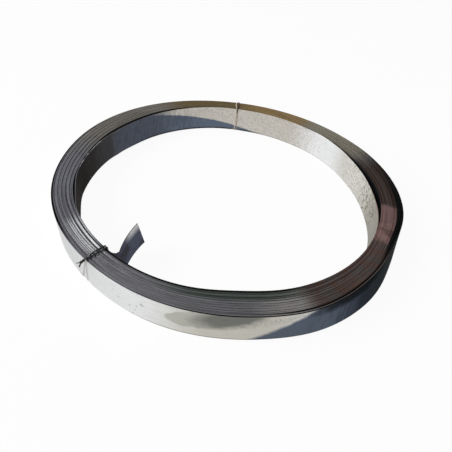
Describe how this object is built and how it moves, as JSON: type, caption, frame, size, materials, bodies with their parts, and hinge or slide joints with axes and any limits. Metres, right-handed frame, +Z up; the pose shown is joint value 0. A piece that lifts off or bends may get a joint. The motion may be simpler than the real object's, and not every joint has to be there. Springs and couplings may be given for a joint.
{
  "type": "steel strip coil",
  "caption": "Flat ring of ribbon-wound galvanised steel strip, held by twisted wire ties, with the strip's inner end bent into the bore.",
  "frame": {"origin": "on the coil's axis in the plane of its lower end, which is the floor it lies on", "axes": "+Z up along the coil's axis; the picture looks along +Y from above, with +X to its right"},
  "size_m": [0.3489, 0.3467, 0.0377],
  "materials": {
    "strip": "galvanised strip with dark, partly rusty edges",
    "tie_wire": "dull annealed wire"
  },
  "bodies": {
    "root": {"strip_coil": "strip", "front_tie": "tie_wire", "back_tie": "tie_wire"}
  },
  "joints": []
}
